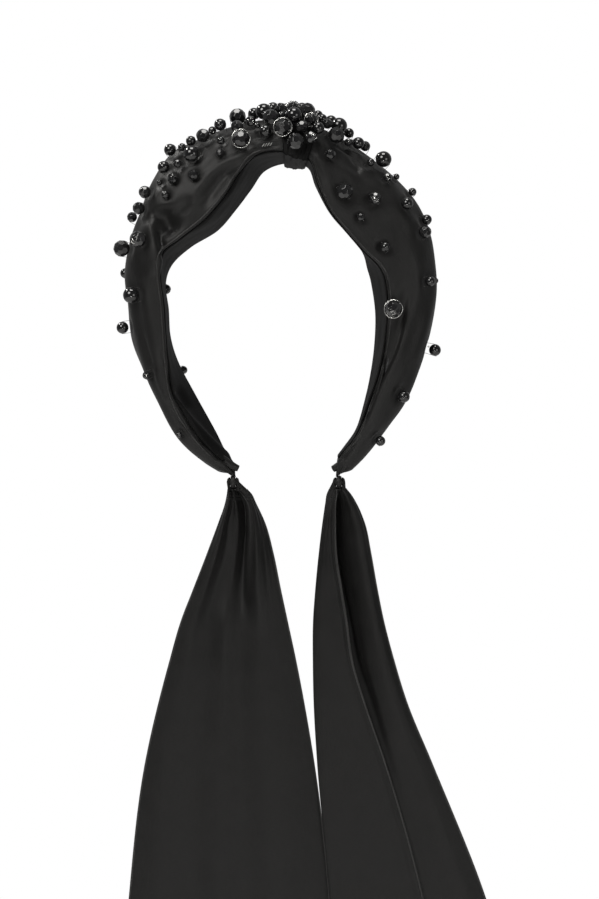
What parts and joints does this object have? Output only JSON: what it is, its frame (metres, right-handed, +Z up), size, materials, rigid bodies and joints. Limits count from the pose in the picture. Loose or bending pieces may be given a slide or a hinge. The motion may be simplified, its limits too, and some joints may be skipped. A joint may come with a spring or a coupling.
{
  "type": "beaded scarf headband",
  "caption": "Padded satin headband with a knotted, beaded crown and two long scarf tails that hang from its ends.",
  "frame": {"origin": "the point of the lining that rests on the top of the head, under the knot", "axes": "+X to the right seen from the front, +Y from the front of the band to its back, +Z up, as worn upright"},
  "size_m": [0.218, 0.0653, 0.59],
  "materials": {
    "satin": "low-lustre woven satin, charcoal black",
    "tail_satin": "two layers of low-lustre woven satin",
    "lining": "matt black woven ribbon",
    "foam": "open-cell foam, hidden",
    "hoop_plastic": "flexible moulded plastic, hidden",
    "black_bead": "polished round bead",
    "cut_bead": "faceted bead with polished faces",
    "crystal": "clear faceted bead",
    "white_bead": "tiny seed bead",
    "silver_wire": "bright silver wire",
    "black_thread": "sewing thread",
    "stitch_thread": "pale hand stitches"
  },
  "bodies": {
    "crown": {"hoop": "hoop_plastic", "lining_ribbon": "lining", "crown_pad": "foam", "crown_cover": "satin", "knot_wrap": "satin", "knot_stitches": "stitch_thread", "crown_round_beads": "black_bead", "crown_faceted_beads": "cut_bead", "crown_rimmed_beads": "cut_bead", "crown_bead_rims": "silver_wire", "crown_crystal_beads": "crystal", "crown_bead_threads": "black_thread"},
    "left_arm": {"left_pad": "foam", "left_cover": "satin", "left_end_fold": "satin", "left_tail_loop": "satin", "left_round_beads": "black_bead", "left_faceted_beads": "cut_bead", "left_crystal_beads": "crystal", "left_bead_threads": "black_thread"},
    "right_arm": {"right_pad": "foam", "right_cover": "satin", "right_end_fold": "satin", "right_tail_loop": "satin", "right_round_beads": "black_bead", "right_faceted_beads": "cut_bead", "right_crystal_beads": "crystal", "right_bead_threads": "black_thread", "right_crystal_rim": "silver_wire", "right_seed_bead": "white_bead"},
    "left_tail": {"left_gather": "satin", "left_gather_thread": "black_thread", "left_tail": "tail_satin"},
    "right_tail": {"right_gather": "satin", "right_gather_thread": "black_thread", "right_tail": "tail_satin"}
  },
  "joints": [
    {"name": "left_arm_flex", "type": "hinge", "parent": "crown", "child": "left_arm", "pos_m": [-0.032, 0, 0.0185], "axis": [0, 1, 0], "range_deg": [0, 8], "stiffness_Nm_per_rad": 1.2, "deforming": ["hoop", "lining_ribbon"]},
    {"name": "right_arm_flex", "type": "hinge", "parent": "crown", "child": "right_arm", "pos_m": [0.0504, 0, 0.0032], "axis": [0, -1, 0], "range_deg": [0, 8], "stiffness_Nm_per_rad": 1.2, "deforming": ["hoop", "lining_ribbon"]},
    {"name": "left_tail_swing", "type": "hinge", "parent": "left_arm", "child": "left_tail", "pos_m": [-0.0245, 0, -0.161], "axis": [1, 0, 0], "range_deg": [-75, 75]},
    {"name": "right_tail_swing", "type": "hinge", "parent": "right_arm", "child": "right_tail", "pos_m": [0.0285, 0, -0.161], "axis": [1, 0, 0], "range_deg": [-75, 75]}
  ]
}
